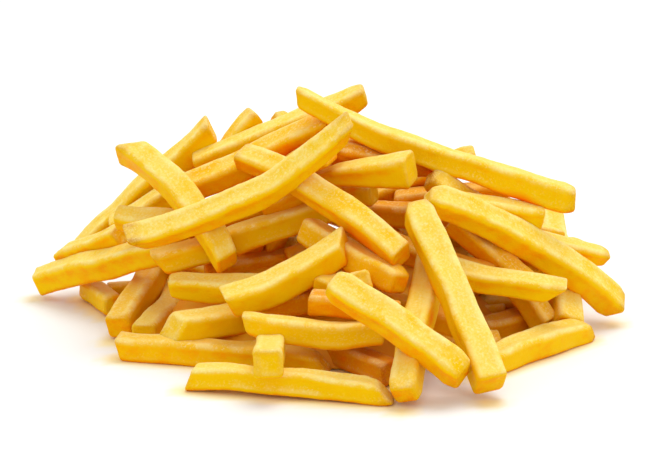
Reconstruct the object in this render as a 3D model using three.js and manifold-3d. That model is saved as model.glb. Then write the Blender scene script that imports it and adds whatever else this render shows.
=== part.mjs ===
// A loose heap of straight-cut french fries lying on a flat surface, in millimetres, +Z up.
// The solid is one fused body: a low core hidden inside, the fries of the front and the top at their places,
// and the fries of the inside and the back, which are drawn by a seeded rule and settled against the others.
import * as THREE from 'three';
import { mergeVertices } from 'three/addons/utils/BufferGeometryUtils.js';
import Module from 'manifold-3d';

// ---- driving dimensions ----
const CORE_HEIGHT = 26; // the hidden core, a low dome
const CORE_HALF_WIDTH = 70;
const CORE_HALF_DEPTH = 52;
const CORE_SETBACK = 10; // how far the core's middle lies behind the origin
const CORE_RINGS = 5;
const CORE_SIDES = 20;
const CHAMFER = 0.7; // where a section's flat ends, as a share of its half width
const END_SETBACK = 1.3; // how far an end's rounding reaches along the fry
const END_SHRINK = 0.8; // the end face's size beside the section's
const THIN_TIP = 0.75; // a tip smaller than this share of the section is drawn out over the taper's length
const TAPER_LENGTH = 9;
const LEAST_BOW = 1.5; // flatter bows than this stay straight in the solid
const CONTACT = 0.96; // axes of touching fries lie this share of a thickness apart
const SEED = 7;
const SETTLE_ROUNDS = 160;
const FILL_ROUNDS = 90;
const CROWDING = [4, 3, 2, 1.2]; // how far a loose fry may still run into another after each settling
const FALL = 0.06; // how far a loose fry sinks in a round
const BOND = 0.2; // fries count as touching when they run this far into each other
const SEGMENTS = 4; // straight pieces of an axis when contacts are sought
const CONTACT_MARGIN = 6; // pairs this much out of reach are still watched while settling
const PAIR_ROUNDS = 20; // the pairs are sought again after so many rounds
const OVER_PUSH = 1.25; // a round's push beside the mean of what the contacts ask for
const TRIES = 3000; // draws of a layer, at most
const GOLDEN_TURN = 0.618034; // of a turn from one draw to the next
const TURN_SPREAD = 0.12;
const LOOSE_LENGTH = 48; // the shortest loose fry
const LENGTH_SPREAD = 32;
const LOOSE_THICKNESS = 8; // the thinnest loose fry
const THICKNESS_SPREAD = 1.6;
const BOW_SPREAD = 4;
const BOW_LEAN = 0.4; // the share of the loose fries that sag
const STEEPEST = 0.9; // rise over run of a loose fry
const ALONGSIDE = 0.8; // cosine above which two fries lie alongside each other
const DEEP_ALONGSIDE = 0.45; // how deep a drawn fry may start in one alongside it
const DEEP_ACROSS = 0.8; // and in one that it crosses
const OPEN_SHARE = 0.45; // of a loose fry, what may show beside those of the front
const DRAW_SLACK = 2; // how far under the outline a drawn fry starts
const SLIDE_STEP = 0.25; // of a floating fry on its way to the rest
const SLIDE_STEPS = 120;
const VIEW_TILT = THREE.MathUtils.degToRad(16); // the front's line of sight, down from the horizontal
const FOOT_HALF_WIDTH = 104; // the ellipse that all ends stay in
const FOOT_HALF_DEPTH = 88;
const OPEN_BEYOND = 82; // further out than this no loose fry shows from the front
const OPEN_LOW = 0; // nor lower in the view than this
const STRAY = 1.03; // how far out of the ellipse a settled loose fry may end, as a factor
const CELL = 2; // width of a cell of the front's depth field
const FIELD_ACROSS = 124;
const FIELD_UP = 108;
const FIELD_LEFT = -124;
const FIELD_LOW = -108;

// The layers that the loose fries are drawn in, inside to outside.
const LAYERS = [
  { height: 40, halfWidth: 80, halfDepth: 66, count: 36, front: -60 },
  { height: 56, halfWidth: 92, halfDepth: 78, count: 32, front: -30 },
  { height: 72, halfWidth: 100, halfDepth: 86, count: 32, front: -10 },
];

// The heap's outline as seen from the front: sideways place and height.
const SKYLINE = [
  [-125, 4],
  [-110, 20],
  [-101, 29],
  [-91, 36],
  [-78, 46],
  [-67, 60],
  [-47, 76],
  [-10, 84],
  [12, 87],
  [30, 78],
  [50, 66],
  [88, 50],
  [97, 36],
  [105, 16],
  [125, 4],
];

// The fries of the front and the top: one end, the other end, thickness, bow (up is positive),
// roll (the top face leans to the front), and for each end how far its top runs past its bottom,
// how far its front runs short of its back, and the tip's size beside the section's. Some have one more
// value: how much they grow from one end to the other, as a share of the thickness.
const PLACED = [
  // on the surface
  [[-47, -58.5, 4], [19, -73.5, 4], 8.4, 1, 0, [-3, 0, 1], [-8, 0, 0.9]],
  [[-73, -25.5, 4.5], [-1.5, -44, 4.5], 8.8, 0, 5, [2, 0, 1], [-7, 0, 0.8]],
  [[52.5, -51, 4.5], [93, -10.5, 4.5], 9.2, 0, 10, [0, 0, 1], [-7, 0, 0.8]],
  [[33.5, -27.5, 3.5], [60, -23, 3.5], 8, 0, 20, [0, 0, 1], [0, 0, 1]],
  [[-8, -18, 4], [21.5, -56.5, 4], 8.5, 0, 0, [0, 0, 1], [0, 0, 1]],
  [[-91.5, 44, 4], [-79.5, 20.5, 4], 7.6, 0, 0, [0, 0, 0.9], [0, 0, 1]],
  // ends that point to the front
  [[35, -12, 29], [25, -76.5, 5], 9.6, 0, -10, [0, 0, 1], [2, 0, 0.9]],
  [[-76, -7.5, 4.5], [-60, 50, 18], 9.4, 0, -5, [0, 0, 1], [0, 0, 1]],
  [[-65.5, -16, 4.5], [-56, 24.5, 6], 9.2, 0, -5, [0, 0, 1], [0, 0, 1]],
  [[-19.5, -78, 14], [-20, -52, 12], 9.9, 0, 0, [0, 0, 1], [0, 0, 1]],
  // lower front
  [[-55, -32, 11.5], [-23.5, -22, 14.5], 9.4, 0, 10, [-6, 3, 1], [0, 0, 1]],
  [[-29, -50, 20], [19, -51, 17.5], 8.6, -2, -4, [3, 0, 0.9], [0, 0, 1]],
  [[0.5, -57, 37.5], [44.5, -71, 9], 10.2, 0, 40, [0, 0, 0.8], [-2, 0, 0.9]],
  [[-56.5, -8, 21], [-14, -17, 21], 8.8, 0, 20, [1, 1, 0.9], [0, 0, 1]],
  [[-35, -33, 22], [6.5, -26, 40], 10.2, -2.5, 18, [1, 0, 1], [0, 5, 1]],
  [[-31, -28, 18], [-2.5, -24, 22], 8.6, 0, 5, [0, 0, 1], [0, 0, 1]],
  [[-8, -8, 40], [23.5, -38, 29], 9.4, 0, -10, [0, 0, 1], [0, 2, 0.9]],
  [[11.5, -44, 32.5], [11, -12, 16.5], 8, 0, 10, [0, 0, 1], [0, 0, 1]],
  [[-6.5, -38, 25], [24, -45, 23], 7.8, 0, 15, [0, 0, 1], [0, 0, 1]],
  [[14, -29, 25], [50, -39, 15], 8, 0, 15, [0, 0, 1], [0, 0, 1]],
  [[8, 8, 36], [58, -10, 24], 8.4, 0, 15, [0, 0, 1], [0, 0, 1]],
  // right side
  [[30.5, -18, 53], [54.5, -72, 6], 10.5, 0, 10, [0, 0, 0.8], [0, 0, 1]],
  [[41, -20, 30], [80, -21, 22.5], 8.4, 0, 25, [0, 0, 1], [8, 0, 1]],
  [[33.5, -14, 56], [104, 17, 5.5], 10, 4.3, 45, [2, 0, 0.8], [3, 0, 0.9], 0.1],
  [[84, 44, 31.5], [87, -10.5, 5], 10.2, 0, -20, [0, 0, 1], [0, 0, 1]],
  [[41.5, 1, 48.5], [76, 2, 42], 8.4, 0, 15, [0, 0, 1], [0, 0, 1]],
  [[48, 14, 41], [78.5, -5, 5], 9, 0, 5, [0, 0, 1], [0, 0, 1]],
  [[45, 2, 44], [70, -8, 22], 8.6, 0, 20, [0, 0, 1], [0, 0, 1]],
  [[36, 4, 57.5], [58, 8, 41], 8.8, 0, 40, [0, 0, 0.85], [0, 0, 1]],
  [[97, 44, 18.5], [55, 48, 23], 6.8, 0, 15, [0, 0, 0.8], [0, 0, 1]],
  [[101.5, 24, 21], [66, 14, 33.5], 7, 0, 25, [2, 0, 0.8], [0, 0, 1]],
  // top
  [[-12, 14, 83], [88, 4, 48], 8.9, -3.3, 0, [4, 0, 0.95], [-3, 0, 0.85], 0.22],
  [[-49, 37, 53.5], [13.5, 34, 81], 8.8, 0, 15, [0, 0, 1], [1, 0, 0.9]],
  [[-27.5, 45, 71], [-46, 40, 44.5], 8.2, 0, 15, [2, 0, 0.9], [0, 0, 1]],
  [[-20, 50, 70], [2, 26, 36], 7.8, 0, 0, [0, 0, 0.76], [0, 0, 1]],
  [[-69, -11, 39.5], [6.5, -13, 80], 9.2, -6, 45, [4, 0, 1], [7, 0, 1], -0.05],
  [[-31.5, 12, 63], [25, -32, 38], 9.2, 4.8, 35, [0, 0, 1], [0, 0, 1], 0.1],
  [[-52.5, 20, 47.4], [0.5, 22, 71], 9.4, 0, 25, [0, 0, 1], [0, 0, 1]],
  [[-4, 8, 57.5], [29, -6, 62.5], 8.6, 0, 15, [0, 0, 0.5], [0, 0, 1], 0.7],
  [[2.5, 8, 66], [38, 14, 58], 7, 0, 30, [0, 0, 0.8], [0, 0, 0.7]],
  [[53.5, 30, 59], [15, 34, 41], 7.8, 0, 30, [3, 0, 0.9], [0, 0, 1]],
  [[-14.5, 24, 45], [16.5, 12, 49], 8.4, 0, 5, [0, 0, 1], [0, 0, 1]],
  // left side
  [[-43.5, 46, 64.8], [-95.5, 51, 14], 9.8, 0, 20, [4, 0, 1], [0, 0, 0.9]],
  [[-71, 22, 62.6], [-35.5, -12, 30.5], 9.9, 4, 28, [2, -5, 1], [0, 0, 1], -0.22],
  [[-77, 17.5, 39], [-48, 9.5, 38], 8.2, 0, 35, [0, 0, 1], [0, 0, 1]],
  [[-102.5, 46, 13.5], [-76.5, 28, 29], 8, 0, 20, [0, 0, 0.6], [0, 0, 1]],
  [[-110, 47, 6.2], [-53, 8, 31.5], 9.6, 0, 20, [-1, 4, 1], [0, 0, 1]],
  [[-61.5, -2, 28], [2, 5, 47], 9.3, -1.6, 0, [4, 0, 1], [0, 0, 1]],
  [[-39, 18, 35.5], [-12, 20, 43.5], 8, 0, 15, [0, 0, 1], [0, 0, 1]],
  [[-24, 8, 44.5], [3, 10, 56.5], 8.4, 0, 10, [0, 0, 1], [0, 0, 1]],
  // inside, seen through the gaps
  [[-4.5, -34, 29.5], [8, -18, 32.5], 7, 0, 15, [0, 0, 1], [0, 0, 1]],
  [[4, 22, 39.5], [37.5, 18, 39.5], 8.4, 0, 10, [0, 0, 1], [0, 0, 1]],
  [[-45, 8, 21], [-4, 14, 24.5], 9, 0, 10, [0, 0, 1], [0, 0, 1]],
  [[-15, 6, 25.5], [15.5, 12, 32.5], 8.6, 0, 20, [0, 0, 1], [0, 0, 1]],
  [[-13.5, 20, 58.5], [15, 26, 66], 8, 0, 10, [0, 0, 1], [0, 0, 1]],
  [[54, -8.5, 4.5], [84.5, 12.5, 4.5], 8.6, 0, 10, [0, 0, 1], [0, 0, 1]],
  [[-51.5, 34, 48], [-80, 38, 29], 8.4, 0, 20, [0, 0, 1], [0, 0, 1]],
  [[24.5, 27.0, 41.5], [65.5, 22.0, 47.0], 8.6, 0, 10, [0, 0, 1], [0, 0, 1]],
];

// ---- a repeatable draw between 0 and 1 ----
function drawFrom(seed) {
  let state = seed >>> 0;
  return () => {
    state = (state + 0x6d2b79f5) >>> 0;
    let t = Math.imul(state ^ (state >>> 15), state | 1) >>> 0;
    t = (t ^ ((t + (Math.imul(t ^ (t >>> 7), t | 61) >>> 0)) >>> 0)) >>> 0;
    return ((t ^ (t >>> 14)) >>> 0) / 4294967296;
  };
}

// ---- small vector helpers ----
const add = (a, b) => [a[0] + b[0], a[1] + b[1], a[2] + b[2]];
const sub = (a, b) => [a[0] - b[0], a[1] - b[1], a[2] - b[2]];
const mul = (a, k) => [a[0] * k, a[1] * k, a[2] * k];
const dot = (a, b) => a[0] * b[0] + a[1] * b[1] + a[2] * b[2];
const len = (a) => Math.sqrt(dot(a, a));
const unit = (a) => mul(a, 1 / len(a));
const cross = (a, b) => [
  a[1] * b[2] - a[2] * b[1],
  a[2] * b[0] - a[0] * b[2],
  a[0] * b[1] - a[1] * b[0],
];
const clamp = (v) => Math.min(1, Math.max(0, v));
const between = (a, b, t) => add(a, mul(sub(b, a), t));

// The direction square to an axis that points most nearly up.
function upOf(f) {
  const d = unit(sub(f.b, f.a));
  const side = unit(cross(d, [0, 0, 1]));
  return cross(side, d);
}

// How much shorter than the fry the part of its axis is that counts for contacts: the ends are cut.
function insetOf(f, end) {
  const cut = Math.max(Math.abs(end[0]), Math.abs(end[1])) / 2;
  return f.thick / 2 + cut + (end[2] < THIN_TIP ? TAPER_LENGTH / 2 : 0);
}

// The shares of the axis where its contact pieces begin and end.
function contactShares(f) {
  const length = len(sub(f.b, f.a));
  const from = insetOf(f, f.ends[0]) / length;
  const to = 1 - insetOf(f, f.ends[1]) / length;
  const list = [];
  for (let k = 0; k <= SEGMENTS; k++) list.push(from + ((to - from) * k) / SEGMENTS);
  return list;
}

// The axis of a fry at a share of its length.
function axisAt(f, up, t) {
  return add(between(f.a, f.b, t), mul(up, f.bow * 4 * t * (1 - t)));
}

// The nearest points of two straight pieces, as shares of each, and the step from one to the other.
function nearest(p1, q1, p2, q2) {
  const d1 = sub(q1, p1);
  const d2 = sub(q2, p2);
  const r = sub(p1, p2);
  const a = dot(d1, d1);
  const e = dot(d2, d2);
  const f = dot(d2, r);
  const c = dot(d1, r);
  const b = dot(d1, d2);
  const den = a * e - b * b;
  let s = den > 1e-9 ? clamp((b * f - c * e) / den) : 0.5;
  let t = (b * s + f) / e;
  if (t < 0) {
    t = 0;
    s = clamp(-c / a);
  } else if (t > 1) {
    t = 1;
    s = clamp((b - c) / a);
  }
  return { s, t, step: sub(add(p2, mul(d2, t)), add(p1, mul(d1, s))) };
}

// ---- settling: fries that run into each other are pushed apart, and loose ones sink ----
function settle(fries, rounds, fall) {
  const length = fries.map((f) => len(sub(f.b, f.a)));
  const up = fries.map(upOf);
  const shares = fries.map(contactShares);
  let pairs = [];
  for (let round = 0; round < rounds; round++) {
    if (fall > 0 && round < rounds / 2) {
      for (const f of fries.filter((g) => g.loose)) {
        f.a[2] -= fall;
        f.b[2] -= fall;
      }
    }
    if (round % PAIR_ROUNDS === 0) {
      pairs = [];
      for (let i = 0; i < fries.length; i++) {
        for (let j = i + 1; j < fries.length; j++) {
          if (give(fries[i])[1] + give(fries[j])[1] === 0) continue;
          const apart = len(sub(between(fries[i].a, fries[i].b, 0.5), between(fries[j].a, fries[j].b, 0.5)));
          const reach = (length[i] + length[j] + fries[i].thick + fries[j].thick) / 2 + CONTACT_MARGIN;
          if (apart < reach) pairs.push([i, j]);
        }
      }
    }
    const points = fries.map((f, i) => shares[i].map((t) => axisAt(f, up[i], t)));
    const moves = fries.map(() => ({ a: [0, 0, 0], b: [0, 0, 0], count: 0 }));
    for (const [i, j] of pairs) {
      let best = null;
      for (let k = 0; k < SEGMENTS; k++) {
        for (let l = 0; l < SEGMENTS; l++) {
          const n = nearest(points[i][k], points[i][k + 1], points[j][l], points[j][l + 1]);
          const d = len(n.step);
          if (best && d >= best.d) continue;
          const s = shares[i][k] + (shares[i][k + 1] - shares[i][k]) * n.s;
          const t = shares[j][l] + (shares[j][l + 1] - shares[j][l]) * n.t;
          best = { d, s, t, step: n.step };
        }
      }
      const wanted = ((fries[i].thick + fries[j].thick) / 2) * CONTACT;
      if (best.d >= wanted) continue;
      let normal;
      if (best.d < 0.3) {
        const c = cross(sub(fries[i].b, fries[i].a), sub(fries[j].b, fries[j].a));
        normal = len(c) > 1e-6 ? unit(c) : [0, 0, 1];
        const apart = sub(add(fries[j].a, fries[j].b), add(fries[i].a, fries[i].b));
        if (dot(normal, apart) < 0) normal = mul(normal, -1);
      } else {
        normal = mul(best.step, 1 / best.d);
      }
      const gi = give(fries[i]);
      const gj = give(fries[j]);
      const total = normal.reduce((sum, n, k) => sum + n * n * (gi[k] + gj[k]), 0);
      if (total < 1e-6) continue;
      const push = (wanted - best.d) / total;
      const part = (move, g, share, sign) => {
        const w = (1 - share) * (1 - share) + share * share;
        for (let k = 0; k < 3; k++) {
          move.a[k] += (sign * normal[k] * g[k] * push * (1 - share)) / w;
          move.b[k] += (sign * normal[k] * g[k] * push * share) / w;
        }
        move.count += 1;
      };
      part(moves[i], gi, best.s, -1);
      part(moves[j], gj, best.t, 1);
    }
    fries.forEach((f, i) => {
      const k = OVER_PUSH / Math.max(1, moves[i].count);
      f.a = add(f.a, mul(moves[i].a, k));
      f.b = add(f.b, mul(moves[i].b, k));
      f.a[2] = Math.max(f.a[2], f.thick / 2);
      f.b[2] = Math.max(f.b[2], f.thick / 2);
      const d = sub(f.b, f.a);
      const stretch = mul(d, (length[i] / len(d) - 1) / 2);
      f.a = sub(f.a, stretch);
      f.b = add(f.b, stretch);
    });
  }
}

// How readily a fry gives way along each axis: placed ones rather in depth than across the front.
function give(f) {
  if (f.loose) return [1, 1, 1];
  return f.fixed ? [0, 0, 0] : [0.12, 0.6, 0.12];
}

// How deep two axes run into each other, as a share of their thickness.
function depthShare(f, g) {
  return 1 - len(nearest(f.a, f.b, g.a, g.b).step) / ((f.thick + g.thick) / 2);
}

// ---- what shows from the front ----
// Turned so that x runs across, y up and z towards the front.
function turned(p) {
  const c = Math.cos(VIEW_TILT);
  const s = Math.sin(VIEW_TILT);
  return [p[0], p[2] * c + p[1] * s, p[2] * s - p[1] * c + 200];
}

function frontField(fries) {
  const field = new Float64Array(FIELD_ACROSS * FIELD_UP);
  for (const f of fries) {
    const a = turned(f.a);
    const b = turned(f.b);
    const across = Math.hypot(b[0] - a[0], b[1] - a[1]);
    if (across < 1) continue;
    const ux = (b[0] - a[0]) / across;
    const uy = (b[1] - a[1]) / across;
    const rise = (b[2] - a[2]) / across;
    const upper = (f.thick / 2) * Math.sqrt(1 + rise * rise);
    for (let j = 0; j < FIELD_UP; j++) {
      const y = FIELD_LOW + CELL * (j + 0.5);
      if (y < Math.min(a[1], b[1]) - f.thick || y > Math.max(a[1], b[1]) + f.thick) continue;
      for (let i = 0; i < FIELD_ACROSS; i++) {
        const x = FIELD_LEFT + CELL * (i + 0.5);
        const along = (x - a[0]) * ux + (y - a[1]) * uy;
        const aside = (y - a[1]) * ux - (x - a[0]) * uy;
        if (Math.abs(aside) > f.thick / 2 + 0.6 || along < -0.5 || along > across + 0.5) continue;
        const z = a[2] + rise * along + upper;
        field[j * FIELD_ACROSS + i] = Math.max(field[j * FIELD_ACROSS + i], z);
      }
    }
  }
  return field;
}

function fieldAt(field, x, y) {
  const i = Math.floor((x - FIELD_LEFT) / CELL);
  const j = Math.floor((y - FIELD_LOW) / CELL);
  const inside = i >= 0 && i < FIELD_ACROSS && j >= 0 && j < FIELD_UP;
  return inside ? field[j * FIELD_ACROSS + i] : 0;
}

// Whether a fry stays behind those of the front and inside the outline.
function staysHidden(field, f, margin) {
  const a = turned(f.a);
  const b = turned(f.b);
  const steps = 12;
  let open = 0;
  for (let k = 0; k <= steps; k++) {
    const p = between(a, b, k / steps);
    const front = fieldAt(field, p[0], p[1]);
    if (front > 0 && p[2] + margin > front) return false;
    if (front > 0) continue;
    if (Math.abs(p[0]) > OPEN_BEYOND || p[1] < OPEN_LOW) return false;
    open++;
  }
  return open <= (steps + 1) * OPEN_SHARE;
}

function skylineAt(x) {
  const k = SKYLINE.findIndex(([px]) => x <= px);
  if (k <= 0) return SKYLINE[0][1];
  const [x0, y0] = SKYLINE[k - 1];
  const [x1, y1] = SKYLINE[k];
  return y0 + ((y1 - y0) * (x - x0)) / (x1 - x0);
}

function underSkyline(f, slack) {
  for (let k = 0; k <= 4; k++) {
    const p = between(f.a, f.b, k / 4);
    if (turned(p)[1] + f.thick * 0.62 + 1 > skylineAt(p[0]) + slack) return false;
  }
  return true;
}

// ---- the loose fries of the inside and the back ----
function slopeHeight(layer, x, y) {
  return layer.height * (1 - Math.hypot(x / layer.halfWidth, (y - 2) / layer.halfDepth));
}

// Whether an end lies outside the foot's ellipse, made larger by a factor.
function strays(f, factor) {
  const out = (p) => (p[0] / FOOT_HALF_WIDTH) ** 2 + (p[1] / FOOT_HALF_DEPTH) ** 2 > factor * factor;
  return out(f.a) || out(f.b);
}

function drawLoose(placed) {
  const draw = drawFrom(SEED);
  const field = frontField(placed);
  const loose = [];
  for (const layer of LAYERS) {
    let got = 0;
    for (let tries = 1; tries <= TRIES && got < layer.count; tries++) {
      const angle = 2 * Math.PI * ((tries * GOLDEN_TURN + draw() * TURN_SPREAD) % 1);
      const radius = Math.sqrt(0.04 + 0.9 * draw());
      const x = Math.cos(angle) * radius * layer.halfWidth;
      const y = Math.sin(angle) * radius * layer.halfDepth + 2;
      const heading = Math.atan2(y, x) + draw() * Math.PI;
      const length = LOOSE_LENGTH + LENGTH_SPREAD * draw() * draw();
      const thick = LOOSE_THICKNESS + THICKNESS_SPREAD * draw();
      const bow = (draw() - BOW_LEAN) * BOW_SPREAD;
      const roll = draw() * 90;
      if (y < layer.front) continue;
      const ux = Math.cos(heading);
      const uy = Math.sin(heading);
      const low = slopeHeight(layer, x - ux * length * 0.4, y - uy * length * 0.4);
      const high = slopeHeight(layer, x + ux * length * 0.4, y + uy * length * 0.4);
      const slope = Math.max(-STEEPEST, Math.min(STEEPEST, (high - low) / (0.8 * length)));
      const half = length / 2 / Math.sqrt(1 + slope * slope);
      const z = Math.max(slopeHeight(layer, x, y) + thick / 2, thick / 2 + Math.abs(slope) * half);
      const f = {
        a: [x - ux * half, y - uy * half, z - slope * half],
        b: [x + ux * half, y + uy * half, z + slope * half],
        thick,
        bow,
        roll,
        growth: 0,
        ends: [
          [0, 0, 1],
          [0, 0, 1],
        ],
        loose: true,
      };
      if (strays(f, 1)) continue;
      if (!underSkyline(f, -DRAW_SLACK) || !staysHidden(field, f, 1)) continue;
      const clash = [...loose, ...placed].some((g) => {
        const alike = Math.abs(dot(unit(sub(f.b, f.a)), unit(sub(g.b, g.a))));
        return depthShare(f, g) > (alike > ALONGSIDE ? DEEP_ALONGSIDE : DEEP_ACROSS);
      });
      if (clash) continue;
      loose.push(f);
      got++;
    }
  }
  // Those that find no room, or come to lie in front, are taken out step by step.
  let kept = loose;
  for (const most of CROWDING) {
    settle([...placed, ...kept], FILL_ROUNDS, FALL);
    const all = [...placed, ...kept];
    kept = kept.filter((f) => {
      if (!staysHidden(field, f, 0) || !underSkyline(f, 1) || strays(f, STRAY)) return false;
      return !all.some((g) => g !== f && overlap(f, g) > most);
    });
  }
  return kept;
}

// ---- gathering: what still floats is slid along the line of sight until it touches the rest ----
function coreHeight(x, y) {
  const r = (x / CORE_HALF_WIDTH) ** 2 + ((y - CORE_SETBACK) / CORE_HALF_DEPTH) ** 2;
  return r < 1 ? CORE_HEIGHT * (1 - r) : 0;
}

// How far two fries run into each other, axis bows included.
function overlap(f, g) {
  const far = len(sub(between(f.a, f.b, 0.5), between(g.a, g.b, 0.5)));
  const reach = (len(sub(f.b, f.a)) + len(sub(g.b, g.a)) + f.thick + g.thick) / 2 + CONTACT_MARGIN;
  if (far > reach) return -far;
  const uf = upOf(f);
  const ug = upOf(g);
  const p = contactShares(f).map((t) => axisAt(f, uf, t));
  const q = contactShares(g).map((t) => axisAt(g, ug, t));
  let best = Infinity;
  for (let k = 0; k < SEGMENTS; k++) {
    for (let l = 0; l < SEGMENTS; l++) {
      best = Math.min(best, len(nearest(p[k], p[k + 1], q[l], q[l + 1]).step));
    }
  }
  return (f.thick + g.thick) / 2 - best;
}

function touchesCore(f) {
  for (let k = 0; k <= 8; k++) {
    const p = between(f.a, f.b, k / 8);
    if (p[2] < coreHeight(p[0], p[1])) return true;
  }
  return false;
}

function slid(f, s) {
  const level = Math.min(f.a[2], f.b[2]) < f.thick / 2 + 0.5;
  const step = level ? [0, s, 0] : [0, s * Math.cos(VIEW_TILT), -s * Math.sin(VIEW_TILT)];
  const moved = { ...f, a: add(f.a, step), b: add(f.b, step) };
  moved.a[2] = Math.max(moved.a[2], f.thick / 2);
  moved.b[2] = Math.max(moved.b[2], f.thick / 2);
  return moved;
}

function gather(fries) {
  const held = new Set(fries.filter(touchesCore));
  const spread = () => {
    for (let grew = true; grew; ) {
      grew = false;
      for (const f of fries) {
        if (held.has(f) || ![...held].some((g) => overlap(f, g) > BOND)) continue;
        held.add(f);
        grew = true;
      }
    }
  };
  spread();
  while (held.size < fries.length) {
    let best = null;
    for (const f of fries.filter((g) => !held.has(g))) {
      for (let k = 1; k <= SLIDE_STEPS && !(best && k * SLIDE_STEP >= best.way); k++) {
        for (const s of [k * SLIDE_STEP, -k * SLIDE_STEP]) {
          const moved = slid(f, s);
          const run = Math.max(...[...held].map((g) => overlap(moved, g)));
          if (run > BOND && (!best || Math.abs(s) < best.way)) best = { f, moved, way: Math.abs(s) };
        }
      }
    }
    if (!best) break;
    best.f.a = best.moved.a;
    best.f.b = best.moved.b;
    held.add(best.f);
    spread();
  }
  return fries.filter((f) => held.has(f));
}

// ---- solids ----
const wasm = await Module();
wasm.setup();

function solidOf(geometry) {
  const bare = new THREE.BufferGeometry();
  bare.setAttribute('position', geometry.getAttribute('position'));
  bare.setIndex(geometry.getIndex());
  const merged = mergeVertices(bare, 1e-4);
  return new wasm.Manifold(
    new wasm.Mesh({
      numProp: 3,
      vertProperties: new Float32Array(merged.attributes.position.array),
      triVerts: new Uint32Array(merged.index.array),
    }),
  );
}

function geometryOf(solid) {
  const mesh = solid.getMesh();
  const geometry = new THREE.BufferGeometry();
  geometry.setAttribute('position', new THREE.BufferAttribute(new Float32Array(mesh.vertProperties), 3));
  geometry.setIndex(new THREE.BufferAttribute(new Uint32Array(mesh.triVerts), 1));
  const flat = geometry.toNonIndexed();
  flat.computeVertexNormals();
  return flat;
}

// A closed skin over rings of points, each ring with the same number of them.
function skin(rings) {
  const sides = rings[0].length;
  const points = rings.flat();
  const faces = [];
  for (let k = 0; k + 1 < rings.length; k++) {
    for (let j = 0; j < sides; j++) {
      const next = (j + 1) % sides;
      const p = k * sides + j;
      const q = k * sides + next;
      faces.push([p, q, q + sides], [p, q + sides, p + sides]);
    }
  }
  const last = (rings.length - 1) * sides;
  for (let j = 1; j + 1 < sides; j++) {
    faces.push([0, j + 1, j], [last, last + j, last + j + 1]);
  }
  const geometry = new THREE.BufferGeometry();
  geometry.setAttribute('position', new THREE.BufferAttribute(new Float32Array(points.flat()), 3));
  geometry.setIndex(faces.flat());
  return geometry;
}

// One fry: a chamfered square section led along its axis, with blunt, slanted or thin ends.
function fryGeometry(f) {
  const d = unit(sub(f.b, f.a));
  const up = upOf(f);
  let side = cross(d, up);
  if (side[1] > 0) side = mul(side, -1);
  const turn = THREE.MathUtils.degToRad(f.roll);
  const top = add(mul(up, Math.cos(turn)), mul(side, Math.sin(turn)));
  const front = sub(mul(side, Math.cos(turn)), mul(up, Math.sin(turn)));
  const h = f.thick / 2;
  const c = h * CHAMFER;
  // The loose ones have plain corners.
  let section = f.loose
    ? [
        [h, h],
        [-h, h],
        [-h, -h],
        [h, -h],
      ]
    : [
        [h, c],
        [c, h],
        [-c, h],
        [-h, c],
        [-h, -c],
        [-c, -h],
        [c, -h],
        [h, -c],
      ];
  if (dot(cross(front, top), d) < 0) section = section.reverse();
  const length = len(sub(f.b, f.a));
  const ring = (t, scale, end, sign) => {
    const centre = axisAt(f, up, t);
    const size = scale * (1 + f.growth * (t - 0.5));
    return section.map(([x, y]) => {
      const slide = sign * ((end[0] / 2) * (y / h) - (end[1] / 2) * (x / h));
      return add(centre, add(mul(front, x * size), add(mul(top, y * size), mul(d, slide))));
    });
  };
  const flat = [0, 0, 1];
  const [one, two] = f.ends;
  const reach = (end) => (end[2] < THIN_TIP ? TAPER_LENGTH : END_SETBACK);
  const near = reach(one) / length;
  const far = 1 - reach(two) / length;
  const rings = [ring(0, END_SHRINK * one[2], one, -1), ring(near, 1, one, -1)];
  if (Math.abs(f.bow) > LEAST_BOW) {
    rings.push(ring(0.35, 1, flat, 1), ring(0.65, 1, flat, 1));
  }
  rings.push(ring(far, 1, two, 1), ring(1, END_SHRINK * two[2], two, 1));
  return skin(rings);
}

// The core: a low dome with its flat side on the surface.
function coreGeometry() {
  const rings = [];
  for (let k = 0; k <= CORE_RINGS; k++) {
    const share = k / CORE_RINGS;
    const radius = Math.sqrt(1 - share * 0.97);
    const ring = [];
    for (let j = 0; j < CORE_SIDES; j++) {
      const angle = (2 * Math.PI * j) / CORE_SIDES;
      const x = Math.cos(angle) * radius * CORE_HALF_WIDTH;
      const y = Math.sin(angle) * radius * CORE_HALF_DEPTH + CORE_SETBACK;
      ring.push([x, y, share * CORE_HEIGHT]);
    }
    rings.push(ring);
  }
  return skin(rings);
}

function union(solids) {
  let list = solids;
  while (list.length > 1) {
    const next = [];
    for (let k = 0; k < list.length; k += 2) {
      next.push(k + 1 < list.length ? list[k].add(list[k + 1]) : list[k]);
    }
    list = next;
  }
  return list[0];
}

// ---- the heap ----
const placed = PLACED.map(([a, b, thick, bow, roll, one, two, growth = 0]) => ({
  a: [...a],
  b: [...b],
  thick,
  bow,
  roll,
  growth,
  ends: [one, two],
}));
settle(placed, SETTLE_ROUNDS, 0);
for (const f of placed) f.fixed = true;
const loose = drawLoose(placed);
const fries = gather([...placed, ...loose]);

// All fries and the core as one body; hollows that the joining shuts are filled.
const joined = union([coreGeometry(), ...fries.map(fryGeometry)].map(solidOf));
const pieces = joined.decompose().sort((p, q) => q.volume() - p.volume());

// What reaches below the surface is cut off level.
const below = new THREE.BoxGeometry(400, 400, 40).translate(0, 0, -20);
const heap = pieces[0].subtract(solidOf(below)).decompose().sort((p, q) => q.volume() - p.volume())[0];

const geometry = geometryOf(heap);
geometry.computeBoundingBox();
const box = geometry.boundingBox;
geometry.translate(-(box.min.x + box.max.x) / 2, -(box.min.y + box.max.y) / 2, 0);

const material = new THREE.MeshStandardMaterial({ color: 0xf2c14a, roughness: 0.55, metalness: 0 });
const mesh = new THREE.Mesh(geometry, material);
mesh.name = 'fries';

const group = new THREE.Group();
group.add(mesh);

export default group;
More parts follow.
